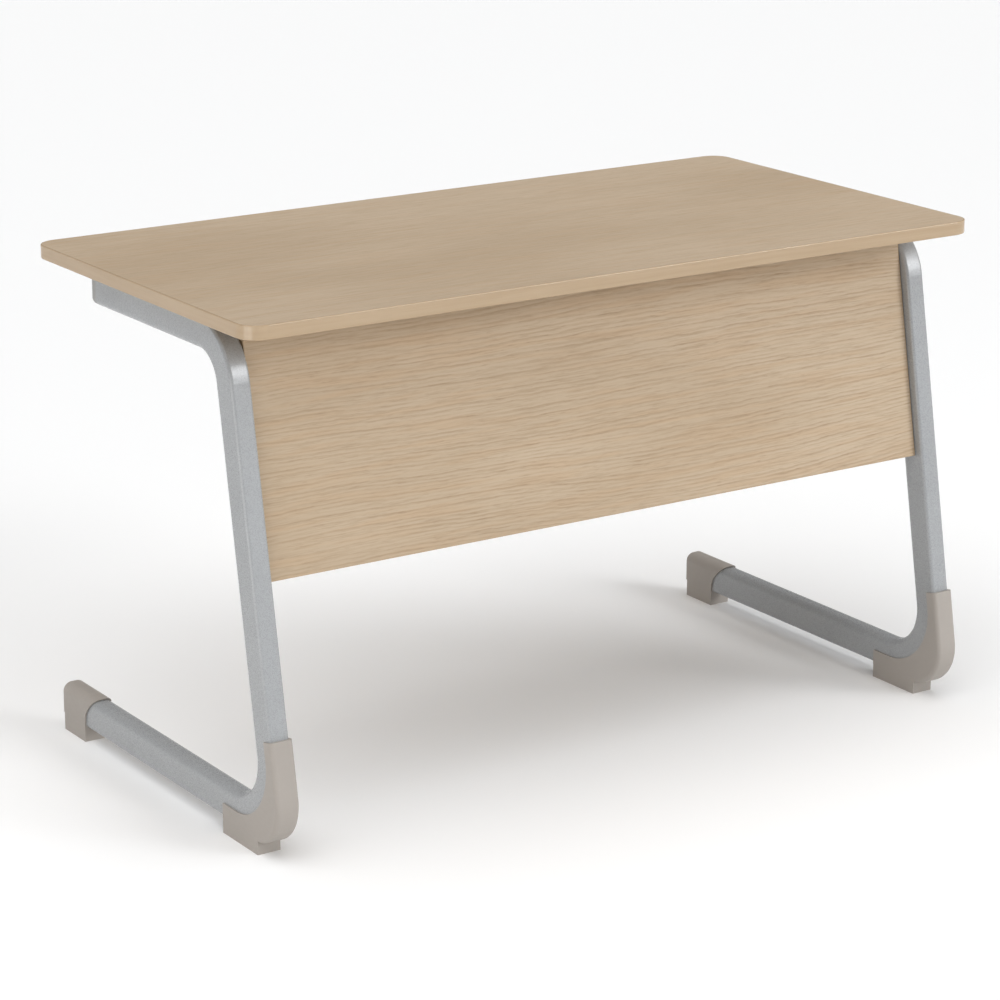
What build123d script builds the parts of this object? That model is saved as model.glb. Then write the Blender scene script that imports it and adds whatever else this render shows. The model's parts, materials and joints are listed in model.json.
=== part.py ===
from build123d import *
import math
import os

# Teacher desk: a worktop and a slanting modesty panel on two C-shaped frames of flat-sided tube,
# joined by two cross rails under the worktop.
#
# Frame of reference: X runs along the desk's width, -Y is the public side with the modesty panel,
# +Z is up. The origin is on the floor, in the middle of the desk's overall width and depth.
# Millimetres.

# ---------------------------------------------------------------- driving dimensions

# overall
desk_height = 722.0
worktop_width = 1200.0
worktop_depth = 600.0
nose_reach = 25.5            # the heel covers reach this far past the worktop's front edge

# worktop
worktop_thickness = 19.5
worktop_corner_radius = 30.0
worktop_band_thickness = 2.0
worktop_band_round = 1.5     # rounding of the band's outer edges

# frame tube, flat-sided: its outer side (away from the opening of the C) has the tighter corners
tube_height = 45.5           # in the plane of the C
tube_width = 30.0            # across the C
tube_wall = 2.0
tube_outer_corner = 4.5
tube_inner_corner = 11.0
smallest_corner = 0.5         # inside a tube or a sleeve
frame_inset = 20.0           # from the worktop's end to the outer face of the tube
leg_slant = 10.4             # degrees from the vertical, the foot of the leg forwards
foot_rail_height = 22.0      # floor to the underside of the foot rail
upper_bend_radius = 68.0     # at the tube's centre line
lower_bend_radius = 83.0
arm_setback = 137.5          # from the worktop's rear edge to the end of the arm, plug included

# arm end plug
plug_head = 10.0             # the part outside the tube
plug_head_round = 9.0        # its lower rear corner, seen from the side
plug_insert = 22.0           # the part inside the tube
plug_wall = 2.5

# plastic feet
cover_wall = 2.5             # beside the tube
cover_nose_wall = 6.0        # in front of the leg and under the foot rail
cover_nose_radius = 63.0     # the nose seen from the side, tighter than the bend inside it
cover_edge_round = 6.0
cover_top = 163.0            # height where the heel cover ends, at the leg's centre line
leg_lap = 10.0               # the cover's edge on the leg, ahead of the leg's centre line
rail_lap = 2.5               # the cover's edge on the foot rail, below the rail's centre line
heel_foot_front = 27.5       # from the worktop's front edge back to the foot block's front face
heel_foot_length = 93.0
glide_setback = 8.0          # from the worktop's rear edge to the back of the rear glide
glide_length = 68.5          # of its foot and its sides
glide_top_reach = 26.5       # its top reaches this much further forward along the tube
glide_top_wall = 3.0
glide_lip_height = 42.0      # where its front edge turns forward
glide_lip_radius = 30.0
glide_end_wall = 5.0         # behind the end of the tube
glide_back_round = 3.5
glide_foot_step = 4.5        # the foot's back face, ahead of the glide's back
glide_foot_height = 26.0     # height of that step
foot_edge_round = 0.8

# modesty panel
panel_thickness = 18.0
panel_height = 340.0         # along its slope
panel_end_gap = 1.5          # between each end of the panel and the tube
panel_top_gap = 1.5          # between the panel's top front edge and the worktop
panel_band_thickness = 1.0

# cross rails under the worktop
rail_height = 40.0
rail_width = 20.0
rail_wall = 1.5
rail_corner = 2.5
front_rail_offset = 205.0    # from the worktop's front edge to the rail's centre line
rear_rail_offset = 205.0     # from the worktop's rear edge to the rail's centre line
end_plate_thickness = 3.0
end_plate_width = 76.0
end_plate_corner = 5.0

# panel tabs, welded to the legs behind the panel
tab_width = 38.0             # away from the leg
tab_height = 60.0            # along the leg
tab_thickness = 3.0
tab_corner = 6.0
tab_screw_edge = 12.5        # from the tab's free edge to its screws
tab_end_margin = 40.0        # from each long edge of the panel to the nearer tab's middle

# panel cleats, bent steel strips between the panel's top and the worktop
cleat_width = 40.0
cleat_thickness = 2.0
cleat_leg = 34.0             # length of each of its two legs, from the corner
cleat_bend_radius = 3.0      # at the middle of the strip
cleat_screw_offset = 22.0    # from the corner to the screws, on both legs
cleat_spacing = 380.0
cleat_count = 3

# fasteners
fit_clearance = 0.2          # between a tube and the plastic that fits it
hole_clearance = 0.1         # round a screw's shank
pilot_spare = 1.0            # a blind hole's depth past the screw's point
bolt_diameter = 6.0
bolt_length = 14.0
bolt_head_diameter = 12.0
bolt_head_height = 3.3
bolt_socket = 4.0            # across the flats
bolt_socket_depth = 2.0
bolt_spacing = 52.0
nut_body_diameter = 9.0
nut_flange_diameter = 13.0
nut_flange_thickness = 0.6
nut_length = 12.5
wood_screw_diameter = 5.0
wood_screw_depth = 13.0      # in the worktop
wood_screw_head_diameter = 10.0
wood_screw_head_height = 3.0
access_hole_diameter = 13.0
bolt_hole_play = 0.3         # all round, in the end plates
screw_cross = 1.2            # width of the arms of a cross recess
screw_cross_span = 0.55      # their span, as a share of the head's diameter
screw_cross_depth = 1.5
screw_head_roundness = 0.6   # rounding of a head's edge, as a share of its height
screw_point = 0.25           # chamfer of a screw's point, as a share of its diameter
panel_screw_diameter = 4.0
panel_screw_depth = 12.0     # in the panel or the worktop
panel_screw_head_diameter = 8.0
panel_screw_head_height = 2.5
panel_screw_spacing = 30.0   # on a tab
cleat_screw_spacing = 22.0   # on a cleat
foot_screw_diameter = 4.2
foot_screw_head_diameter = 8.0
foot_screw_head_height = 2.8
foot_screw_recess = 10.0     # from the floor up to the seat of the head
foot_screw_recess_diameter = 10.0
foot_screw_reach = 5.0       # past the tube's lower wall
heel_screw_inset = 15.0      # from the foot block's rear face
rail_screw_spacing = 360.0
rail_screw_count = 3

# ---------------------------------------------------------------- positions worked out from them

slant = math.radians(leg_slant)
half_height = tube_height / 2
overall_depth = worktop_depth + nose_reach
rear_edge_y = overall_depth / 2
front_edge_y = rear_edge_y - worktop_depth
nose_y = -overall_depth / 2
underside_z = desk_height - worktop_thickness

frame_x = worktop_width / 2 - frame_inset - tube_width / 2
inner_face_x = frame_x - tube_width / 2
arm_z = underside_z - half_height
rail_z = foot_rail_height + half_height
cover_reach = half_height + cover_nose_wall
# where the centre lines of leg and foot rail would meet, with the nose's arc just touching nose_y
heel_y = nose_y + cover_nose_radius \
    + (cover_reach - cover_nose_radius) * (math.tan(slant) + 1 / math.cos(slant))
arm_end_y = rear_edge_y - arm_setback
tube_arm_end_y = arm_end_y - plug_head
glide_back_y = rear_edge_y - glide_setback
glide_front_y = glide_back_y - glide_length
glide_top_z = rail_z + half_height + glide_top_wall
tube_rail_end_y = glide_back_y - glide_end_wall
foot_front_y = front_edge_y + heel_foot_front
foot_rear_y = foot_front_y + heel_foot_length
foot_width = tube_width + 2 * cover_wall

leg_up = Vector(0, math.sin(slant), math.cos(slant))
leg_forward = Vector(0, -math.cos(slant), math.sin(slant))


def leg_y(z, ahead=0.0):
    """Y of the leg's centre line at height z, or of a line that far ahead of it."""
    return heel_y + (z - rail_z) * math.tan(slant) - ahead / math.cos(slant)


def frame_line(side):
    """The corner points of one frame's centre line, from the arm's end to the foot rail's end."""
    x = side * frame_x
    return (
        (x, tube_arm_end_y, arm_z),
        (x, leg_y(arm_z), arm_z),
        (x, leg_y(rail_z), rail_z),
        (x, tube_rail_end_y, rail_z),
    )


SIDES = (("left", -1), ("right", 1))
BACK_SIDES = (("left", 1), ("right", -1))    # on the panel's back plane, whose X runs the other way
os.makedirs("parts", exist_ok=True)


def save(node, name):
    """Label a finished sub-part and write its STEP file."""
    node.part.label = name
    export_step(node.part, f"parts/{name}.step")


def tube_section(inset=0.0):
    """The tube's profile, its outer side towards +Y, made smaller all round by inset."""
    with BuildSketch(mode=Mode.PRIVATE) as section:
        Rectangle(tube_width - 2 * inset, tube_height - 2 * inset)
        corners = section.vertices().group_by(Axis.Y)
        fillet(corners[-1], max(tube_outer_corner - inset, smallest_corner))
        low_corners = section.vertices().group_by(Axis.Y)[0]
        fillet(low_corners, tube_inner_corner - inset)
    return section.sketch


# ---------------------------------------------------------------- screw positions

front_rail_y = front_edge_y + front_rail_offset
rear_rail_y = rear_edge_y - rear_rail_offset
rail_positions = (("front", front_rail_y), ("rear", rear_rail_y))
arm_screw_ys = (front_rail_y, (front_rail_y + rear_rail_y) / 2, rear_rail_y)
rail_screw_xs = [(i - (rail_screw_count - 1) / 2) * rail_screw_spacing for i in range(rail_screw_count)]
bolt_ys = [y + s * bolt_spacing / 2 for _, y in rail_positions for s in (-1, 1)]
bolt_z = underside_z - rail_height / 2
heel_screw_y = foot_rear_y - heel_screw_inset
glide_screw_y = (glide_front_y + glide_back_y) / 2

# the panel lies in the plane of the legs' centre lines
panel_top_z = underside_z - panel_top_gap
panel_front_top = Vector(0, leg_y(panel_top_z, ahead=panel_thickness / 2), panel_top_z)
panel_middle = panel_front_top - leg_up * (panel_height / 2) - leg_forward * (panel_thickness / 2)
panel_length = 2 * (inner_face_x - panel_end_gap)
panel_back_plane = Plane(
    origin=panel_middle - leg_forward * (panel_thickness / 2), x_dir=(-1, 0, 0), z_dir=-leg_forward
)
tab_heights = [s * (panel_height / 2 - tab_end_margin) for s in (-1, 1)]
tab_x = inner_face_x - tab_width / 2
tab_screw_x = inner_face_x - tab_width + tab_screw_edge
cleat_xs = [(i - (cleat_count - 1) / 2) * cleat_spacing for i in range(cleat_count)]
cleat_screw_xs = [x + s * cleat_screw_spacing / 2 for x in cleat_xs for s in (-1, 1)]

# the corner where the panel's rear face meets the worktop's underside
cleat_corner = Vector(0, leg_y(underside_z, ahead=-panel_thickness / 2), underside_z)
cleat_top_screw_y = cleat_corner.Y + cleat_screw_offset
cleat_panel_screw_v = (cleat_corner - panel_middle).dot(leg_up) - cleat_screw_offset

# ---------------------------------------------------------------- worktop

with BuildPart() as worktop_board:
    with BuildSketch(Plane.XY.offset(underside_z)):
        with Locations((0, (front_edge_y + rear_edge_y) / 2)):
            RectangleRounded(
                worktop_width - 2 * worktop_band_thickness,
                worktop_depth - 2 * worktop_band_thickness,
                worktop_corner_radius - worktop_band_thickness,
            )
    extrude(amount=worktop_thickness)
    # pilot holes for the screws through the arms and the rails
    with BuildSketch(Plane.XY.offset(underside_z)):
        with Locations(*[(side * frame_x, y) for _, side in SIDES for y in arm_screw_ys]):
            Circle(wood_screw_diameter / 2 + hole_clearance)
        with Locations(*[(x, y) for _, y in rail_positions for x in rail_screw_xs]):
            Circle(wood_screw_diameter / 2 + hole_clearance)
    extrude(amount=wood_screw_depth + pilot_spare, mode=Mode.SUBTRACT)
    with BuildSketch(Plane.XY.offset(underside_z)):
        with Locations(*[(x, cleat_top_screw_y) for x in cleat_screw_xs]):
            Circle(panel_screw_diameter / 2 + hole_clearance)
    extrude(amount=panel_screw_depth + pilot_spare, mode=Mode.SUBTRACT)
save(worktop_board, "worktop_board")

with BuildPart() as worktop_edge_band:
    with BuildSketch(Plane.XY.offset(underside_z)):
        with Locations((0, (front_edge_y + rear_edge_y) / 2)):
            RectangleRounded(worktop_width, worktop_depth, worktop_corner_radius)
    extrude(amount=worktop_thickness)
    fillet(worktop_edge_band.faces().filter_by(Axis.Z).edges(), worktop_band_round)
    with BuildSketch(Plane.XY.offset(underside_z)):
        with Locations((0, (front_edge_y + rear_edge_y) / 2)):
            RectangleRounded(
                worktop_width - 2 * worktop_band_thickness,
                worktop_depth - 2 * worktop_band_thickness,
                worktop_corner_radius - worktop_band_thickness,
            )
    extrude(amount=worktop_thickness, mode=Mode.SUBTRACT)
save(worktop_edge_band, "worktop_edge_band")

# ---------------------------------------------------------------- modesty panel

board_length = panel_length - 2 * panel_band_thickness
board_height = panel_height - 2 * panel_band_thickness

with BuildPart() as modesty_panel_board:
    with BuildSketch(panel_back_plane):
        Rectangle(board_length, board_height)
    extrude(amount=-panel_thickness)
    with BuildSketch(panel_back_plane):
        with Locations(*[
            (side * tab_screw_x, v + s * panel_screw_spacing / 2)
            for _, side in SIDES for v in tab_heights for s in (-1, 1)
        ]):
            Circle(panel_screw_diameter / 2 + hole_clearance)
        with Locations(*[(x, cleat_panel_screw_v) for x in cleat_screw_xs]):
            Circle(panel_screw_diameter / 2 + hole_clearance)
    extrude(amount=-(panel_screw_depth + pilot_spare), mode=Mode.SUBTRACT)
save(modesty_panel_board, "modesty_panel_board")

for name, side in BACK_SIDES:
    with BuildPart() as end_band:
        with BuildSketch(panel_back_plane):
            with Locations((side * (panel_length - panel_band_thickness) / 2, 0)):
                Rectangle(panel_band_thickness, board_height)
        extrude(amount=-panel_thickness)
    save(end_band, f"modesty_panel_{name}_band")

for name, side in (("top", 1), ("bottom", -1)):
    with BuildPart() as long_band:
        with BuildSketch(panel_back_plane):
            with Locations((0, side * (panel_height - panel_band_thickness) / 2)):
                Rectangle(panel_length, panel_band_thickness)
        extrude(amount=-panel_thickness)
    save(long_band, f"modesty_panel_{name}_band")

# ---------------------------------------------------------------- frames and their plastic parts


def side_corner(reach):
    """Where two lines meet that run parallel to the leg and the foot rail, each reach outside them."""
    z = rail_z - reach
    return (leg_y(z, ahead=reach), z)


def leg_cut(ahead):
    """The point of the heel cover's top cut, square to the leg, that far ahead of the centre line."""
    middle = Vector(0, leg_y(cover_top), cover_top) + leg_forward * ahead
    return (middle.Y, middle.Z)


def lies_on(outline, edge, plane, tolerance=0.01):
    """Whether an edge, seen square to a plane, lies on an outline that was drawn in that plane."""
    middle = plane.to_local_coords(edge @ 0.5)
    return outline.distance_to(Vector(middle.X, middle.Y, 0)) < tolerance


for name, side in SIDES:
    x = side * frame_x
    arm_end_plane = Plane(origin=(x, tube_arm_end_y, arm_z), x_dir=(1, 0, 0), z_dir=(0, -1, 0))
    inner_plane = Plane(origin=(side * inner_face_x, 0, 0), x_dir=(0, 1, 0), z_dir=(side, 0, 0))
    side_plane = Plane.YZ.offset(x)

    with BuildPart() as frame_tube:
        with BuildLine() as centre_line:
            FilletPolyline(*frame_line(side), radius=[upper_bend_radius, lower_bend_radius])
        with BuildSketch(arm_end_plane):
            add(tube_section())
            add(tube_section(tube_wall), mode=Mode.SUBTRACT)
        sweep(path=centre_line.line)
        # screws into the worktop: shank holes above, access holes below
        with BuildSketch(Plane.XY.offset(arm_z)):
            with Locations(*[(x, y) for y in arm_screw_ys]):
                Circle(wood_screw_diameter / 2 + hole_clearance)
        extrude(amount=half_height, mode=Mode.SUBTRACT)
        with BuildSketch(Plane.XY.offset(arm_z)):
            with Locations(*[(x, y) for y in arm_screw_ys]):
                Circle(access_hole_diameter / 2)
        extrude(amount=-half_height, mode=Mode.SUBTRACT)
        # rivet nuts in the inner side of the arm
        with BuildSketch(inner_plane):
            with Locations(*[(y, side * bolt_z) for y in bolt_ys]):
                Circle(nut_body_diameter / 2)
        extrude(amount=tube_wall, mode=Mode.SUBTRACT)
        # foot screws in the underside of the foot rail
        with BuildSketch(Plane.XY.offset(foot_rail_height)):
            with Locations((x, heel_screw_y), (x, glide_screw_y)):
                Circle(foot_screw_diameter / 2 + hole_clearance)
        extrude(amount=tube_wall, mode=Mode.SUBTRACT)
    save(frame_tube, f"{name}_frame_tube")

    # the room that the tube takes in the plastic parts on it
    with BuildPart() as tube_space:
        with BuildLine() as space_line:
            FilletPolyline(*frame_line(side), radius=[upper_bend_radius, lower_bend_radius])
        with BuildSketch(arm_end_plane):
            add(tube_section(-fit_clearance))
        sweep(path=space_line.line)

    with BuildPart() as arm_end_plug:
        # the insert, a sleeve inside the tube
        with BuildSketch(arm_end_plane):
            add(tube_section(tube_wall + fit_clearance))
            add(tube_section(tube_wall + fit_clearance + plug_wall), mode=Mode.SUBTRACT)
        extrude(amount=plug_insert)
        # the head, as large as the tube, its lower rear corner rounded as seen from the side
        with BuildSketch(arm_end_plane):
            add(tube_section())
        extrude(amount=-plug_head)
        with BuildSketch(side_plane) as side_view:
            with Locations((arm_end_y, arm_z)):
                Rectangle(
                    plug_head + plug_insert, tube_height, align=(Align.MAX, Align.CENTER)
                )
            fillet(side_view.vertices().group_by(Axis.X)[-1].sort_by(Axis.Y)[0:1], plug_head_round)
        extrude(amount=tube_width / 2, both=True, mode=Mode.INTERSECT)
    save(arm_end_plug, f"{name}_arm_end_plug")

    with BuildPart() as heel_cover:
        # a band round the outside of the lower bend, its inner edge lapping over half the tube
        with BuildSketch(side_plane):
            with BuildLine():
                outside = FilletPolyline(
                    (foot_rear_y, rail_z - cover_reach),
                    side_corner(cover_reach),
                    leg_cut(cover_reach),
                    radius=cover_nose_radius,
                )
                lap = FilletPolyline(
                    leg_cut(leg_lap),
                    (leg_y(rail_z - rail_lap, ahead=leg_lap), rail_z - rail_lap),
                    (foot_rear_y, rail_z - rail_lap),
                    radius=lower_bend_radius,
                )
                Line(outside @ 1, lap @ 0)
                Line(lap @ 1, outside @ 0)
            make_face()
        extrude(amount=foot_width / 2, both=True)
        side_edges = heel_cover.faces().filter_by(Axis.X).edges()
        fillet(side_edges.filter_by(lambda edge: lies_on(outside, edge, side_plane)), cover_edge_round)
        # the foot block
        with BuildSketch(Plane.XY):
            with Locations((x, (foot_front_y + foot_rear_y) / 2)):
                RectangleRounded(foot_width, heel_foot_length, foot_edge_round)
        extrude(amount=rail_z - rail_lap)
        add(tube_space.part, mode=Mode.SUBTRACT)
        # a stepped hole for the screw, open at the floor
        with BuildSketch(Plane.XY):
            with Locations((x, heel_screw_y)):
                Circle(foot_screw_diameter / 2 + hole_clearance)
        extrude(amount=foot_rail_height, mode=Mode.SUBTRACT)
        with BuildSketch(Plane.XY):
            with Locations((x, heel_screw_y)):
                Circle(foot_screw_recess_diameter / 2)
        extrude(amount=foot_screw_recess, mode=Mode.SUBTRACT)
    save(heel_cover, f"{name}_heel_cover")

    with BuildPart() as rear_glide:
        with BuildSketch(Plane.XZ.offset(-glide_back_y)) as end_view:
            with Locations((x, 0)):
                Rectangle(foot_width, glide_top_z, align=(Align.CENTER, Align.MIN))
            fillet(end_view.vertices().group_by(Axis.Y)[-1], tube_inner_corner + cover_wall)
        extrude(amount=glide_length + glide_top_reach)
        # seen from the side, its front edge runs up from the floor and then forward over the tube
        with BuildSketch(side_plane):
            with BuildLine():
                front = FilletPolyline(
                    (glide_front_y, 0),
                    (glide_front_y, glide_lip_height),
                    (glide_front_y - glide_top_reach, glide_top_z),
                    radius=glide_lip_radius,
                )
                Polyline(
                    front @ 1,
                    (glide_back_y, glide_top_z),
                    (glide_back_y, 0),
                    front @ 0,
                )
            make_face()
        extrude(amount=foot_width / 2, both=True, mode=Mode.INTERSECT)
        # every edge of its back but the one on the floor
        back_edges = rear_glide.faces().filter_by(Axis.Y).sort_by(Axis.Y)[-1].edges()
        fillet(back_edges.sort_by(Axis.Z)[1:], glide_back_round)
        # the foot's back face stands a little ahead of the glide's
        with BuildSketch(Plane.XY):
            with Locations((x, glide_back_y)):
                Rectangle(foot_width, glide_foot_step, align=(Align.CENTER, Align.MAX))
        extrude(amount=glide_foot_height, mode=Mode.SUBTRACT)
        add(tube_space.part, mode=Mode.SUBTRACT)
        with BuildSketch(Plane.XY):
            with Locations((x, glide_screw_y)):
                Circle(foot_screw_diameter / 2 + hole_clearance)
        extrude(amount=foot_rail_height, mode=Mode.SUBTRACT)
        with BuildSketch(Plane.XY):
            with Locations((x, glide_screw_y)):
                Circle(foot_screw_recess_diameter / 2)
        extrude(amount=foot_screw_recess, mode=Mode.SUBTRACT)
    save(rear_glide, f"{name}_rear_glide")

# ---------------------------------------------------------------- cross rails

for name, y in rail_positions:
    plate_reach = inner_face_x - nut_flange_thickness
    with BuildPart() as cross_rail:
        with BuildSketch(Plane.YZ):
            with Locations((y, underside_z - rail_height / 2)):
                RectangleRounded(rail_width, rail_height, rail_corner)
                RectangleRounded(
                    rail_width - 2 * rail_wall, rail_height - 2 * rail_wall,
                    rail_corner - rail_wall, mode=Mode.SUBTRACT,
                )
        extrude(amount=plate_reach - end_plate_thickness, both=True)
        with BuildSketch(Plane.XY.offset(underside_z)):
            with Locations(*[(x, y) for x in rail_screw_xs]):
                Circle(wood_screw_diameter / 2 + hole_clearance)
        extrude(amount=-rail_height / 2, mode=Mode.SUBTRACT)
        with BuildSketch(Plane.XY.offset(underside_z - rail_height)):
            with Locations(*[(x, y) for x in rail_screw_xs]):
                Circle(access_hole_diameter / 2)
        extrude(amount=rail_height / 2, mode=Mode.SUBTRACT)
    save(cross_rail, f"{name}_cross_rail")

    with BuildPart() as end_plates:
        for _, side in SIDES:
            with BuildSketch(Plane.YZ.offset(side * plate_reach)):
                with Locations((y, underside_z - rail_height / 2)):
                    RectangleRounded(end_plate_width, rail_height, end_plate_corner)
                    with GridLocations(bolt_spacing, 0, 2, 1):
                        Circle(bolt_diameter / 2 + bolt_hole_play, mode=Mode.SUBTRACT)
            extrude(amount=-side * end_plate_thickness)
    save(end_plates, f"{name}_rail_end_plates")

# ---------------------------------------------------------------- panel tabs and cleats

for name, side in BACK_SIDES:
    with BuildPart() as panel_tabs:
        with BuildSketch(panel_back_plane):
            for v in tab_heights:
                with Locations((side * tab_x, v)):
                    tab = Rectangle(tab_width, tab_height)
                    fillet(tab.vertices().group_by(Axis.X)[0 if side > 0 else -1], tab_corner)
                with Locations(*[
                    (side * tab_screw_x, v + s * panel_screw_spacing / 2) for s in (-1, 1)
                ]):
                    Circle(panel_screw_diameter / 2 + hole_clearance, mode=Mode.SUBTRACT)
        extrude(amount=tab_thickness)
    save(panel_tabs, f"{name}_panel_tabs")

with BuildPart() as panel_cleats:
    for x in cleat_xs:
        with BuildSketch(Plane.YZ.offset(x)):
            with BuildLine():
                strip_z = underside_z - cleat_thickness / 2
                strip_y = leg_y(strip_z, ahead=-(panel_thickness + cleat_thickness) / 2)
                foot = Vector(0, strip_y, strip_z) - leg_up * cleat_leg
                FilletPolyline(
                    (strip_y + cleat_leg, strip_z), (strip_y, strip_z), (foot.Y, foot.Z),
                    radius=cleat_bend_radius,
                )
            trace(line_width=cleat_thickness)
        extrude(amount=cleat_width / 2, both=True)
    with BuildSketch(Plane.XY.offset(underside_z)):
        with Locations(*[(x, cleat_top_screw_y) for x in cleat_screw_xs]):
            Circle(panel_screw_diameter / 2 + hole_clearance)
    extrude(amount=-cleat_thickness, mode=Mode.SUBTRACT)
    with BuildSketch(panel_back_plane):
        with Locations(*[(x, cleat_panel_screw_v) for x in cleat_screw_xs]):
            Circle(panel_screw_diameter / 2 + hole_clearance)
    extrude(amount=cleat_thickness, mode=Mode.SUBTRACT)
save(panel_cleats, "panel_cleats")

# ---------------------------------------------------------------- fasteners


def pan_screw(diameter, length, head_diameter, head_height):
    """A cross-recess screw: its head's seat at the origin, its shank towards +Z."""
    with BuildPart(mode=Mode.PRIVATE) as screw:
        with BuildSketch():
            Circle(head_diameter / 2)
        extrude(amount=-head_height)
        fillet(screw.edges().sort_by(Axis.Z)[0], head_height * screw_head_roundness)
        with BuildSketch(Plane.XY.offset(-head_height)):
            Rectangle(head_diameter * screw_cross_span, screw_cross)
            Rectangle(screw_cross, head_diameter * screw_cross_span)
        extrude(amount=screw_cross_depth, mode=Mode.SUBTRACT)
        with BuildSketch():
            Circle(diameter / 2)
        extrude(amount=length)
        chamfer(screw.edges().sort_by(Axis.Z)[-1], diameter * screw_point)
    return screw.part


worktop_screw = pan_screw(
    wood_screw_diameter, tube_wall + wood_screw_depth, wood_screw_head_diameter, wood_screw_head_height
)
rail_screw = pan_screw(
    wood_screw_diameter, rail_wall + wood_screw_depth, wood_screw_head_diameter, wood_screw_head_height
)
tab_screw = pan_screw(
    panel_screw_diameter, tab_thickness + panel_screw_depth,
    panel_screw_head_diameter, panel_screw_head_height,
)
cleat_screw = pan_screw(
    panel_screw_diameter, cleat_thickness + panel_screw_depth,
    panel_screw_head_diameter, panel_screw_head_height,
)
foot_screw = pan_screw(
    foot_screw_diameter, foot_rail_height - foot_screw_recess + tube_wall + foot_screw_reach,
    foot_screw_head_diameter, foot_screw_head_height,
)

with BuildPart() as rail_bolt:
    with BuildSketch():
        Circle(bolt_head_diameter / 2)
    extrude(amount=-bolt_head_height)
    fillet(rail_bolt.edges().sort_by(Axis.Z)[0], bolt_head_height * screw_head_roundness)
    with BuildSketch(Plane.XY.offset(-bolt_head_height)):
        RegularPolygon(bolt_socket / 2, 6, major_radius=False)
    extrude(amount=bolt_socket_depth, mode=Mode.SUBTRACT)
    with BuildSketch():
        Circle(bolt_diameter / 2)
    extrude(amount=bolt_length)

with BuildPart() as rivet_nut:
    with BuildSketch():
        Circle(nut_flange_diameter / 2)
    extrude(amount=-nut_flange_thickness)
    with BuildSketch():
        Circle(nut_body_diameter / 2)
    extrude(amount=nut_length)
    with BuildSketch(Plane.XY.offset(-nut_flange_thickness)):
        Circle(bolt_diameter / 2 + hole_clearance)
    extrude(amount=nut_length + nut_flange_thickness, mode=Mode.SUBTRACT)

for name, side in SIDES:
    x = side * frame_x
    with BuildPart() as worktop_screws:
        with Locations(*[(x, y, underside_z - tube_wall) for y in arm_screw_ys]):
            add(worktop_screw)
    save(worktop_screws, f"{name}_worktop_screws")

    # the bolts and rivet nuts point outwards, into the arm
    with BuildPart() as rivet_nuts:
        with Locations(*[
            Plane(origin=(side * inner_face_x, y, bolt_z), x_dir=(0, 1, 0), z_dir=(side, 0, 0))
            for y in bolt_ys
        ]):
            add(rivet_nut.part)
    save(rivet_nuts, f"{name}_rivet_nuts")

    bolt_seat_x = side * (inner_face_x - nut_flange_thickness - end_plate_thickness)
    with BuildPart() as rail_bolts:
        with Locations(*[
            Plane(origin=(bolt_seat_x, y, bolt_z), x_dir=(0, 1, 0), z_dir=(side, 0, 0)) for y in bolt_ys
        ]):
            add(rail_bolt.part)
    save(rail_bolts, f"{name}_rail_bolts")

    with BuildPart() as tab_screws:
        with Locations(panel_back_plane.offset(tab_thickness)):
            with Locations(*[
                Location((-side * tab_screw_x, v + s * panel_screw_spacing / 2, 0), (180, 0, 0))
                for v in tab_heights for s in (-1, 1)
            ]):
                add(tab_screw)
    save(tab_screws, f"{name}_tab_screws")

    with BuildPart() as heel_screw:
        with Locations((x, heel_screw_y, foot_screw_recess)):
            add(foot_screw)
    save(heel_screw, f"{name}_heel_screw")

    with BuildPart() as glide_screw:
        with Locations((x, glide_screw_y, foot_screw_recess)):
            add(foot_screw)
    save(glide_screw, f"{name}_glide_screw")

for name, y in rail_positions:
    with BuildPart() as rail_screws:
        with Locations(*[(x, y, underside_z - rail_wall) for x in rail_screw_xs]):
            add(rail_screw)
    save(rail_screws, f"{name}_rail_screws")

with BuildPart() as cleat_screws:
    with Locations(*[(x, cleat_top_screw_y, underside_z - cleat_thickness) for x in cleat_screw_xs]):
        add(cleat_screw)
    with Locations(panel_back_plane.offset(cleat_thickness)):
        with Locations(*[Location((x, cleat_panel_screw_v, 0), (180, 0, 0)) for x in cleat_screw_xs]):
            add(cleat_screw)
save(cleat_screws, "cleat_screws")
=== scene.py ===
"""Looks of the teacher desk: laminate, powder coat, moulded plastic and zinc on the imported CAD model.

Metres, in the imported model's frame: +X along the desk's width, -Y the public side, +Z up.
"""

import json
import math

import bpy
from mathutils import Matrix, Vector


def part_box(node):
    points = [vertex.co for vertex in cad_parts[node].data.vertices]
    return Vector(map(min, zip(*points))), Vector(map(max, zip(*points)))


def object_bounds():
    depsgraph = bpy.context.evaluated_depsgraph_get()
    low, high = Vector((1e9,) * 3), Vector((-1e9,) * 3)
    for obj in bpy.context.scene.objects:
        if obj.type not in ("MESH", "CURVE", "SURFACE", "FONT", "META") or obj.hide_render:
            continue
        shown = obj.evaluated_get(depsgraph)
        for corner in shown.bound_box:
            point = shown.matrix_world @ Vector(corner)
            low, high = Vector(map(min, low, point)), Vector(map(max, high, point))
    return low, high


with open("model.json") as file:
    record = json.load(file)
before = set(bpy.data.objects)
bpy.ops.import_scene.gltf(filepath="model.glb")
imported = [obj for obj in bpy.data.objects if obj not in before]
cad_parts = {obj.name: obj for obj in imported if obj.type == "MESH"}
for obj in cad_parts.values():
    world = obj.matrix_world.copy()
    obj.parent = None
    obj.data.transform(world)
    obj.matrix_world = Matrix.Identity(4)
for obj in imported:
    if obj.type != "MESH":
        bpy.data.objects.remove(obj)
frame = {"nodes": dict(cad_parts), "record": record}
cad_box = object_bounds()
nodes = frame["nodes"]
slot_of = {row["node"]: row["material_slot"] for row in frame["record"]["subparts"]}


# ---------------------------------------------------------------- shader building

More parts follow.
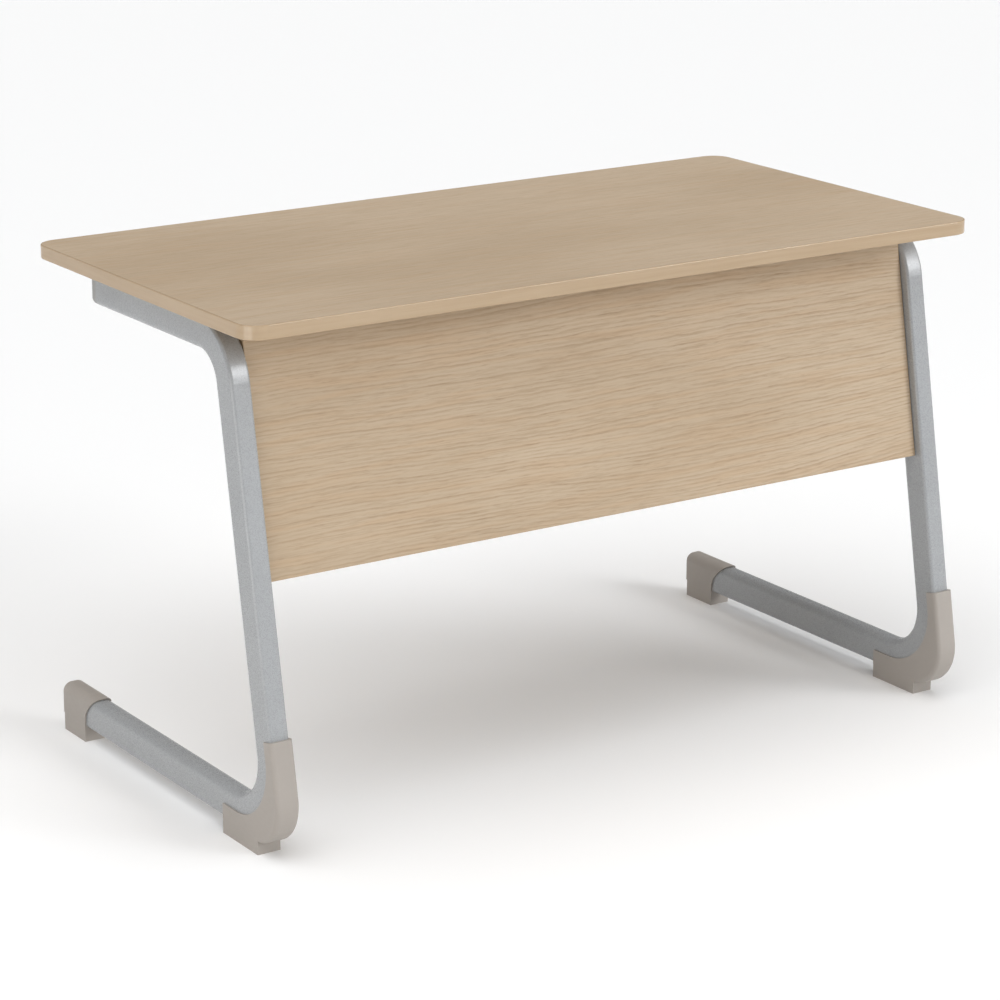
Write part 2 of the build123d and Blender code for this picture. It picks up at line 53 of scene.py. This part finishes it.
# an edge is where rounding turns the normal: the cosine where that begins to count, and where it counts fully
EDGE_BEGINS, EDGE_FULL = 0.995, 0.8
EDGE_SAMPLES = 6


class Shader:
    """A material's node tree, with short calls for the nodes that it needs."""

    def __init__(self, name):
        self.material = bpy.data.materials.new(name)
        self.material.use_nodes = True
        self.tree = self.material.node_tree
        self.surface = self.tree.nodes["Principled BSDF"]
        self.place = self.tree.nodes.new("ShaderNodeTexCoord").outputs["Object"]

    def link(self, value, socket):
        """Feeds a socket from another node's output, or sets it to a constant."""
        if isinstance(value, bpy.types.NodeSocket):
            self.tree.links.new(value, socket)
        else:
            socket.default_value = value

    def math(self, operation, a, b=0.0):
        """One sum on two values."""
        node = self.tree.nodes.new("ShaderNodeMath")
        node.operation = operation
        self.link(a, node.inputs[0])
        self.link(b, node.inputs[1])
        return node.outputs[0]

    def plus(self, a, b):
        """a + b"""
        return self.math("ADD", a, b)

    def minus(self, a, b):
        """a - b"""
        return self.math("SUBTRACT", a, b)

    def times(self, a, b):
        """a * b"""
        return self.math("MULTIPLY", a, b)

    def turned(self, place, angle):
        """Coordinates turned about X, so that a surface that slopes by that angle lies flat in X and Y."""
        node = self.tree.nodes.new("ShaderNodeMapping")
        self.link(place, node.inputs["Vector"])
        node.inputs["Rotation"].default_value = (angle, 0, 0)
        return node.outputs["Vector"]

    def shifted(self, place, offset):
        """Coordinates moved aside, so that two boards of one material differ."""
        node = self.tree.nodes.new("ShaderNodeVectorMath")
        self.link(place, node.inputs[0])
        node.inputs[1].default_value = offset
        return node.outputs[0]

    def stretched(self, place, scale):
        """Coordinates multiplied along each axis, for a pattern that is longer one way."""
        node = self.tree.nodes.new("ShaderNodeMapping")
        self.link(place, node.inputs["Vector"])
        node.inputs["Scale"].default_value = scale
        return node.outputs["Vector"]

    def part(self, place, axis):
        """One of the three coordinates, or of a colour's three values."""
        node = self.tree.nodes.new("ShaderNodeSeparateXYZ")
        self.link(place, node.inputs[0])
        return node.outputs[axis]

    def joined(self, x, y, z):
        """Coordinates put together from three values."""
        node = self.tree.nodes.new("ShaderNodeCombineXYZ")
        for value, socket in zip((x, y, z), node.inputs):
            self.link(value, socket)
        return node.outputs[0]

    def noise(self, place, per_metre, detail=2.0, roughness=0.5):
        """Cloudy values between 0 and 1, mostly near 0.5."""
        node = self.tree.nodes.new("ShaderNodeTexNoise")
        self.link(place, node.inputs["Vector"])
        node.inputs["Scale"].default_value = per_metre
        node.inputs["Detail"].default_value = detail
        node.inputs["Roughness"].default_value = roughness
        return node.outputs["Fac"]

    def streaks(self, place, per_metre, detail=2.0, roughness=0.5):
        """Cloudy values that repeat so many times in a metre along each axis."""
        return self.noise(self.stretched(place, per_metre), 1.0, detail, roughness)

    def cells(self, place, per_metre):
        """Small cells, each with one value between 0 and 1 all over."""
        node = self.tree.nodes.new("ShaderNodeTexVoronoi")
        self.link(place, node.inputs["Vector"])
        node.inputs["Scale"].default_value = per_metre
        return self.part(node.outputs["Color"], "X")

    def ramp(self, value, low, high, out_low=0.0, out_high=1.0):
        """Stretches the range low to high over out_low to out_high, and clamps outside it."""
        node = self.tree.nodes.new("ShaderNodeMapRange")
        node.interpolation_type = "SMOOTHSTEP"
        self.link(value, node.inputs["Value"])
        node.inputs["From Min"].default_value = low
        node.inputs["From Max"].default_value = high
        node.inputs["To Min"].default_value = out_low
        node.inputs["To Max"].default_value = out_high
        return node.outputs["Result"]

    def mix(self, share, a, b):
        """Colour a, with that share of colour b in it."""
        node = self.tree.nodes.new("ShaderNodeMix")
        node.data_type = "RGBA"
        self.link(share, node.inputs["Factor"])
        self.link(a, node.inputs["A"])
        self.link(b, node.inputs["B"])
        return node.outputs["Result"]

    def bump(self, height, relief):
        """A normal that follows the height, where a height of 1 is a relief of so many metres."""
        node = self.tree.nodes.new("ShaderNodeBump")
        self.link(height, node.inputs["Height"])
        node.inputs["Strength"].default_value = 1.0
        node.inputs["Distance"].default_value = relief
        return node.outputs["Normal"]

    def edges(self, radius):
        """1 along edges, 0 elsewhere: how far the normal turns when edges are rounded by that radius."""
        bevel = self.tree.nodes.new("ShaderNodeBevel")
        bevel.samples = EDGE_SAMPLES
        bevel.inputs["Radius"].default_value = radius
        flat = self.tree.nodes.new("ShaderNodeNewGeometry").outputs["Normal"]
        node = self.tree.nodes.new("ShaderNodeVectorMath")
        node.operation = "DOT_PRODUCT"
        self.link(bevel.outputs[0], node.inputs[0])
        self.link(flat, node.inputs[1])
        return self.ramp(node.outputs["Value"], EDGE_BEGINS, EDGE_FULL)

    def finish(self, colour, roughness, normal=None, metallic=0.0, specular=0.5):
        """Connects what was worked out to the surface, and gives the material."""
        self.link(colour, self.surface.inputs["Base Color"])
        self.link(roughness, self.surface.inputs["Roughness"])
        if normal is not None:
            self.link(normal, self.surface.inputs["Normal"])
        self.surface.inputs["Metallic"].default_value = metallic
        self.surface.inputs["Specular IOR Level"].default_value = specular
        return self.material


def rgb(red, green, blue):
    """A colour given as it looks on a screen, 0 to 255, as the linear values that a shader takes."""

    def linear(value):
        value /= 255
        return value / 12.92 if value <= 0.04045 else ((value + 0.055) / 1.055) ** 2.4

    return (linear(red), linear(green), linear(blue), 1.0)


def shade(colour, factor):
    """A colour made darker or lighter."""
    return tuple(min(1.0, part * factor) for part in colour[:3]) + (1.0,)


def tinted(colour, cast):
    """A colour whose red, green and blue are each multiplied."""
    return tuple(part * factor for part, factor in zip(colour, cast)) + (1.0,)


# ---------------------------------------------------------------- oak laminate and its edge band

OAK_LIGHT = rgb(194, 175, 151)
OAK_MEAN = rgb(184, 164, 139)
OAK_WARM = rgb(189, 162, 132)
OAK_DARK = rgb(157, 134, 106)
OAK_PORE = rgb(140, 116, 90)

# growth rings, and how many rings' width they stray: in long arches, in waves and in ripples
RINGS_PER_METRE = 190
ARCH_REACH, WAVE_REACH, RIPPLE_REACH = 24.0, 1.6, 0.42

# how often each pattern repeats in a metre: along the grain, across it, and through the board
ARCHES, WAVES, RIPPLES = (0.8, 2.4, 1), (8, 15, 1), (48, 60, 1)
FIBRES, STREAKS, PORES, CLOUDS = (22, 480, 8), (6, 95, 4), (60, 850, 8), (1.5, 5, 1)

# a ring is strong here and faint there by noise with so many units in a metre along it, and one from ring
# to ring: two slices of that noise, at its scale, for the slow fades and for the short breaks
RING_FADES, RING_BREAKS = 2.2, 17.0
FADES_SLICE, BREAKS_SLICE = 0.0, 2.5
RING_SCALE = 0.9

BAND_STREAKS, BAND_FIBRES = (5, 150), (30, 1100)     # along the band and across it

# how much of each darker tone shows at most, in a board of full contrast and in the band
WARM_STREAKS, DARK_RINGS, DARK_FIBRES, DARK_PORES = 0.5, 0.62, 0.4, 0.45
BAND_DARK_FIBRES = 0.22

LAMINATE_RELIEF, BAND_RELIEF = 0.00006, 0.00003
LAMINATE_ROUGHNESS, BAND_ROUGHNESS = (0.44, 0.56), (0.17, 0.23)
LAMINATE_GLOSS, BAND_GLOSS = 0.2, 0.58


def oak_rings(s, place):
    """The dark late wood of each growth ring: a slow rise and a sharp end, here strong and there faint."""
    along, across = s.part(place, "X"), s.part(place, "Y")
    arches = s.streaks(place, ARCHES, detail=1.0)
    waves = s.streaks(place, WAVES)
    ripples = s.streaks(place, RIPPLES, detail=1.0)
    ring = s.times(across, RINGS_PER_METRE)
    for stray, reach in ((arches, ARCH_REACH), (waves, WAVE_REACH), (ripples, RIPPLE_REACH)):
        ring = s.plus(ring, s.times(stray, reach))
    fades = s.noise(s.joined(s.times(along, RING_FADES), ring, FADES_SLICE), RING_SCALE, detail=1.0)
    breaks = s.noise(s.joined(s.times(along, RING_BREAKS), ring, BREAKS_SLICE), RING_SCALE)
    within = s.math("FRACT", ring)
    late = s.times(s.ramp(within, 0.2, 0.85), s.ramp(within, 1.0, 0.86))
    late = s.times(late, s.ramp(fades, 0.34, 0.68, 0.25, 1.0))
    return s.times(late, s.ramp(breaks, 0.36, 0.62, 0.5, 1.0))


def oak_laminate(name, tilt=0.0, contrast=1.0, offset=(0, 0, 0)):
    """Printed oak, its grain along X, for a face that slopes by tilt: growth rings, fibres and pores."""
    s = Shader(name)
    place = s.shifted(s.turned(s.place, tilt), offset)
    late = oak_rings(s, place)
    fibres = s.streaks(place, FIBRES, detail=4.0, roughness=0.62)
    streaks = s.streaks(place, STREAKS, detail=3.0)
    pores = s.ramp(s.streaks(place, PORES, detail=1.0), 0.58, 0.70)
    pores = s.times(pores, s.plus(s.times(late, 0.7), 0.3))      # fewer of them outside the late wood
    clouds = s.streaks(place, CLOUDS)

    colour = s.mix(s.ramp(clouds, 0.35, 0.65), OAK_MEAN, OAK_LIGHT)
    colour = s.mix(s.ramp(streaks, 0.42, 0.68, 0.0, WARM_STREAKS * contrast), colour, OAK_WARM)
    colour = s.mix(s.times(late, DARK_RINGS * contrast), colour, OAK_DARK)
    colour = s.mix(s.ramp(fibres, 0.45, 0.72, 0.0, DARK_FIBRES * contrast), colour, OAK_DARK)
    colour = s.mix(s.times(pores, DARK_PORES * contrast), colour, OAK_PORE)

    height = s.minus(s.times(fibres, 0.5), s.times(pores, 0.8))
    normal = s.bump(height, LAMINATE_RELIEF)
    roughness = s.ramp(fibres, 0.3, 0.7, *LAMINATE_ROUGHNESS)
    return s.finish(colour, roughness, normal, specular=LAMINATE_GLOSS)


def oak_band(name, colour_a, colour_b, tilt=0.0):
    """Edge band: a smooth strip in the boards' colour, its faint print along the edge all the way round."""
    s = Shader(name)
    place = s.turned(s.place, tilt)
    along = s.plus(s.part(place, "X"), s.part(place, "Y"))
    through = s.part(place, "Z")

    def lines(per_metre, detail):
        """Fine lines along the band."""
        lengthwise, crosswise = per_metre
        spread = s.joined(s.times(along, lengthwise), s.times(through, crosswise), 0.0)
        return s.noise(spread, 1.0, detail)

    streaks = lines(BAND_STREAKS, detail=3.0)
    fibres = lines(BAND_FIBRES, detail=2.0)
    colour = s.mix(s.ramp(streaks, 0.3, 0.7), colour_a, colour_b)
    colour = s.mix(s.ramp(fibres, 0.5, 0.8, 0.0, BAND_DARK_FIBRES), colour, OAK_DARK)
    normal = s.bump(fibres, BAND_RELIEF)
    roughness = s.ramp(streaks, 0.3, 0.7, *BAND_ROUGHNESS)
    return s.finish(colour, roughness, normal, specular=BAND_GLOSS)


# ---------------------------------------------------------------- powder coat, plastic and zinc

# for each material: how often its patterns repeat in a metre; its dark, dull and light tones, as shares of
# its colour, and how much of them shows at most; and how wide, in metres, the lighter strip
# along its edges is: on the powder coat a painted highlight where the coat is also thinner, on the plastic
# rubbed wear
POWDER_PEEL, POWDER_SWELL, POWDER_FLAKES, POWDER_CLOUDS = 300, 120, 1500, 12
POWDER_TONES = (0.86, 0.95, 1.22)
# the middle value is how much painted highlight shows along the edges, where the coat is also thinner; the
# last is that strip's width
POWDER_SPECKLE, POWDER_EDGE_HIGHLIGHT_AND_THINNING, POWDER_EDGE = 0.06, 0.3, 0.0012
POWDER_RELIEF = 0.00013
POWDER_ROUGHNESS = (0.24, 0.34)
POWDER_METAL, POWDER_GLOSS = 0.12, 0.45

PLASTIC_GRAIN, PLASTIC_FLOW, PLASTIC_SCUFFS = 1500, (30, 8, 8), (60, 90, 220)
PLASTIC_TONES = (0.88, 0.94, 1.16)
PLASTIC_STREAKS, PLASTIC_SPECKLE, PLASTIC_WEAR, PLASTIC_EDGE = 0.6, 0.35, 0.6, 0.0014
PLASTIC_RELIEF = 0.00007
PLASTIC_ROUGHNESS = (0.56, 0.44)         # untouched and rubbed
PLASTIC_GLOSS = 0.45

ZINC_SPANGLES, ZINC_MOTTLES, ZINC_SCRATCHES = 260, 60, (900, 60, 60)
ZINC_WARM, ZINC_COLD = (1.06, 1.0, 0.86), (0.90, 0.97, 1.06)     # red, green and blue
ZINC_SPANGLE_TONE = 0.25
ZINC_RELIEF = 0.00003
ZINC_UNEVEN = (-0.06, 0.08)              # how far the roughness strays with the mottles
ZINC_SPANGLE_UNEVEN = (-0.03, 0.03)


def powder_coat(name, colour):
    """Silver-grey powder coat: an orange-peel skin over fine metallic grain, with a painted highlight along
    every edge, where the coat is also thinner.
    """
    s = Shader(name)
    peel = s.noise(s.place, POWDER_PEEL, detail=1.0)
    swell = s.noise(s.place, POWDER_SWELL, detail=1.0)
    flakes = s.cells(s.place, POWDER_FLAKES)
    clouds = s.noise(s.place, POWDER_CLOUDS, detail=3.0)
    dark, dull, light = (shade(colour, factor) for factor in POWDER_TONES)

    tone = s.mix(s.ramp(clouds, 0.3, 0.7), colour, dull)
    tone = s.mix(s.ramp(peel, 0.45, 0.75, 0.0, POWDER_SPECKLE), tone, dark)
    tone = s.mix(s.ramp(flakes, 0.6, 1.0, 0.0, POWDER_SPECKLE), tone, light)
    # painted highlight: the tone is lighter along every edge, where the coat is also thinner
    tone = s.mix(s.times(s.edges(POWDER_EDGE), POWDER_EDGE_HIGHLIGHT_AND_THINNING), tone, light)

    height = s.plus(s.times(peel, 0.8), s.times(swell, 0.8))
    height = s.plus(height, s.times(flakes, 0.05))
    normal = s.bump(height, POWDER_RELIEF)
    roughness = s.ramp(flakes, 0.0, 1.0, *POWDER_ROUGHNESS)
    return s.finish(tone, roughness, normal, metallic=POWDER_METAL, specular=POWDER_GLOSS)


def moulded_plastic(name, colour):
    """Moulded plastic with a fine spark-eroded grain, a little lighter and smoother where it is rubbed."""
    s = Shader(name)
    grain = s.noise(s.place, PLASTIC_GRAIN, detail=3.0, roughness=0.6)
    flow = s.streaks(s.place, PLASTIC_FLOW)
    scuffs = s.streaks(s.place, PLASTIC_SCUFFS, detail=3.0)
    dark, dull, light = (shade(colour, factor) for factor in PLASTIC_TONES)

    tone = s.mix(s.ramp(flow, 0.3, 0.7, 0.0, PLASTIC_STREAKS), colour, dull)
    tone = s.mix(s.ramp(grain, 0.5, 0.8, 0.0, PLASTIC_SPECKLE), tone, dark)
    worn = s.times(s.edges(PLASTIC_EDGE), s.ramp(scuffs, 0.35, 0.6))
    tone = s.mix(s.times(worn, PLASTIC_WEAR), tone, light)

    normal = s.bump(grain, PLASTIC_RELIEF)
    roughness = s.ramp(scuffs, 0.35, 0.75, *PLASTIC_ROUGHNESS)
    return s.finish(tone, roughness, normal, specular=PLASTIC_GLOSS)


def zinc_plate(name, colour, roughness):
    """Zinc-plated steel, brightened and slightly mottled, with a faint warm and a faint blue cast."""
    s = Shader(name)
    spangles = s.cells(s.place, ZINC_SPANGLES)
    mottles = s.noise(s.place, ZINC_MOTTLES, detail=3.0)
    scratches = s.streaks(s.place, ZINC_SCRATCHES)
    smooth, rough = (roughness + stray for stray in ZINC_UNEVEN)

    tone = s.mix(s.ramp(mottles, 0.35, 0.65), tinted(colour, ZINC_WARM), tinted(colour, ZINC_COLD))
    tone = s.mix(s.ramp(spangles, 0.0, 1.0, 0.0, ZINC_SPANGLE_TONE), tone, colour)
    normal = s.bump(scratches, ZINC_RELIEF)
    uneven = s.plus(
        s.ramp(mottles, 0.3, 0.7, smooth, rough),
        s.ramp(spangles, 0.0, 1.0, *ZINC_SPANGLE_UNEVEN),
    )
    return s.finish(tone, uneven, normal, metallic=1.0)


# ---------------------------------------------------------------- a material for each slot


def lean(node):
    """The angle between a flat board and the vertical, from the largest face of its mesh."""
    face = max(node.data.polygons, key=lambda polygon: polygon.area)
    return math.asin(abs(face.normal.z))


panel_tilt = lean(nodes["modesty_panel_board"]) - math.pi / 2
materials = {
    "worktop_laminate": oak_laminate("worktop_laminate", contrast=0.75),
    "worktop_edge": oak_band("worktop_edge", rgb(181, 158, 129), rgb(175, 151, 121)),
    "panel_laminate": oak_laminate("panel_laminate", tilt=panel_tilt, offset=(0.35, 0.13, 0)),
    "panel_edge": oak_band("panel_edge", rgb(184, 162, 135), rgb(176, 152, 123), tilt=panel_tilt),
    "frame_paint": powder_coat("frame_paint", rgb(163, 165, 167)),
    "rail_paint": powder_coat("rail_paint", rgb(162, 164, 166)),
    "foot_plastic": moulded_plastic("foot_plastic", rgb(165, 158, 151)),
    "plug_plastic": moulded_plastic("plug_plastic", rgb(163, 163, 162)),
    "bracket_zinc": zinc_plate("bracket_zinc", rgb(196, 198, 200), roughness=0.34),
    "fastener_zinc": zinc_plate("fastener_zinc", rgb(204, 204, 200), roughness=0.28),
}

for name, node in nodes.items():
    node.data.materials.clear()
    node.data.materials.append(materials[slot_of[name]])


# ---------------------------------------------------------------- floor and backdrop

STAGE_REACH = 40.0               # from the desk to the floor's edges and to the wall
STAGE_COLOUR = rgb(250, 250, 250)
FLOOR_ROUGHNESS = 0.9
WALL_DEPTH = 1.0                 # how far the wall goes below the floor
WALL_SIDES = 96
WALL_STRENGTH = 1.0              # it shows in its own colour, whatever the lights do


def add_to_stage(name, points, faces, material):
    """Adds a mesh that isn't part of the object."""
    mesh = bpy.data.meshes.new(name)
    mesh.from_pydata(points, [], faces)
    mesh.materials.append(material)
    thing = bpy.data.objects.new(name, mesh)
    bpy.context.scene.collection.objects.link(thing)
    return thing


def make_floor():
    """A pale sheet that the desk stands on, wide enough to fill every view from above."""
    reach = STAGE_REACH
    corners = [(-reach, -reach, 0), (reach, -reach, 0), (reach, reach, 0), (-reach, reach, 0)]
    pale = Shader("floor_pale").finish(STAGE_COLOUR, FLOOR_ROUGHNESS)
    add_to_stage("floor", corners, [(0, 1, 2, 3)], pale)


def make_backdrop():
    """A pale round wall behind low views. It is there for the camera only, and lights nothing."""
    points = []
    for z in (-WALL_DEPTH, STAGE_REACH):
        for side in range(WALL_SIDES):
            turn = math.tau * side / WALL_SIDES
            points.append((math.cos(turn) * STAGE_REACH, math.sin(turn) * STAGE_REACH, z))
    faces = []
    for side in range(WALL_SIDES):
        following = (side + 1) % WALL_SIDES
        faces.append((side, following, WALL_SIDES + following, WALL_SIDES + side))
    s = Shader("backdrop_pale")
    s.surface.inputs["Emission Color"].default_value = STAGE_COLOUR
    s.surface.inputs["Emission Strength"].default_value = WALL_STRENGTH
    wall = add_to_stage("backdrop", points, faces, s.finish((0, 0, 0, 1), roughness=1.0, specular=0.0))
    wall.visible_diffuse = False
    wall.visible_glossy = False
    wall.visible_transmission = False
    wall.visible_shadow = False


# ---------------------------------------------------------------- lights

COOL, NEUTRAL, WARM = (0.97, 0.985, 1.0), (1.0, 1.0, 1.0), (1.0, 0.975, 0.935)
WORLD_STRENGTH = 0.28

# directions point from the desk to the light; softness is the light's width in the sky, in degrees,
# and how far away such a light is hung changes nothing
WIDE_LIGHT_DISTANCE = 5.0
KEY = {"direction": (0.51, -0.78, 0.37), "strength": 1.15, "softness": 25, "colour": COOL}
OVERHEAD = {"direction": (-0.25, -0.10, 0.96), "strength": 2.0, "softness": 70, "colour": NEUTRAL}

SIDE_DIRECTION = (-0.92, -0.30, -0.24)   # from the worktop's near corner: to the left, low down
SIDE_DISTANCE = 1.75
SIDE_SIZE = (1.35, 0.7)
SIDE_POWER = 7
SIDE_FLOOR_GAP = 0.03

FRONT_DIRECTION = (0.63, -0.66, 0.40)    # from the right leg's upper bend
FRONT_DISTANCE = 2.2
FRONT_SIZE = (1.1, 1.1)
FRONT_POWER = 9


def hang(name, light, place, towards):
    """Hangs a lamp at a place, shining the given way. The camera doesn't see it."""
    lamp = bpy.data.objects.new(name, light)
    lamp.location = place
    lamp.rotation_mode = "QUATERNION"
    lamp.rotation_quaternion = towards.to_track_quat("-Z", "Y")
    lamp.visible_camera = False
    bpy.context.scene.collection.objects.link(lamp)


def wide_light(name, direction, strength, softness, colour):
    """An even light from far away, as strong on the far floor as on the desk."""
    light = bpy.data.lights.new(name, "SUN")
    light.energy = strength
    light.angle = math.radians(softness)
    light.color = colour
    hang(name, light, Vector(direction) * WIDE_LIGHT_DISTANCE, -Vector(direction))


def soft_box(name, place, towards, size, power, colour):
    """A flat lamp of that width and height."""
    light = bpy.data.lights.new(name, "AREA")
    light.shape = "RECTANGLE"
    light.size, light.size_y = size
    light.energy = power
    light.color = colour
    hang(name, light, place, towards)


def side_box():
    """A low upright soft box, mirrored in the near corners of the worktop's edge band and of the legs."""
    direction = Vector(SIDE_DIRECTION)
    place = Vector(cad_box[0]) + direction * SIDE_DISTANCE
    place.z = SIDE_FLOOR_GAP + SIDE_SIZE[1] / 2
    direction.z = 0
    soft_box("side", place, -direction, SIDE_SIZE, SIDE_POWER, WARM)


def front_box():
    """A soft box in front of the right leg, mirrored in its upper bend; the desk is lighter at that end."""
    low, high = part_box("right_frame_tube")
    bend = Vector(((low[0] + high[0]) / 2, low[1], high[2]))
    direction = Vector(FRONT_DIRECTION)
    soft_box("front", bend + direction * FRONT_DISTANCE, -direction, FRONT_SIZE, FRONT_POWER, NEUTRAL)


def make_world():
    """A dim white sky, which fills the shadows."""
    world = bpy.data.worlds.new("studio")
    world.use_nodes = True
    background = world.node_tree.nodes["Background"]
    background.inputs["Color"].default_value = (1, 1, 1, 1)
    background.inputs["Strength"].default_value = WORLD_STRENGTH
    bpy.context.scene.world = world


# ---------------------------------------------------------------- camera

CAMERA_PLACE = (-2.557276, -3.746370, 1.693148)
CAMERA_AZIMUTH, CAMERA_FALL = -33.0602, 16.3673      # degrees to the left of +Y, and below the horizontal
CAMERA_SENSOR, CAMERA_LENS = 36.0, 117.96            # millimetres
CAMERA_SHIFT = (0.0547, -0.0225)
CAMERA_REACH = 200.0


def make_camera():
    """The photograph's viewpoint: from the left of the public side, a little above the desk."""
    camera = bpy.data.cameras.new("camera")
    camera.sensor_width = CAMERA_SENSOR
    camera.lens = CAMERA_LENS
    camera.shift_x, camera.shift_y = CAMERA_SHIFT
    camera.clip_end = CAMERA_REACH
    holder = bpy.data.objects.new("camera", camera)
    holder.location = CAMERA_PLACE
    azimuth, fall = math.radians(CAMERA_AZIMUTH), math.radians(CAMERA_FALL)
    look = Vector((
        -math.sin(azimuth) * math.cos(fall),
        math.cos(azimuth) * math.cos(fall),
        -math.sin(fall),
    ))
    holder.rotation_mode = "QUATERNION"
    holder.rotation_quaternion = look.to_track_quat("-Z", "Y")
    bpy.context.scene.collection.objects.link(holder)
    bpy.context.scene.camera = holder


make_floor()
make_backdrop()
make_world()
wide_light("key", **KEY)
wide_light("overhead", **OVERHEAD)
side_box()
front_box()
make_camera()
bpy.context.scene.view_settings.view_transform = "Standard"
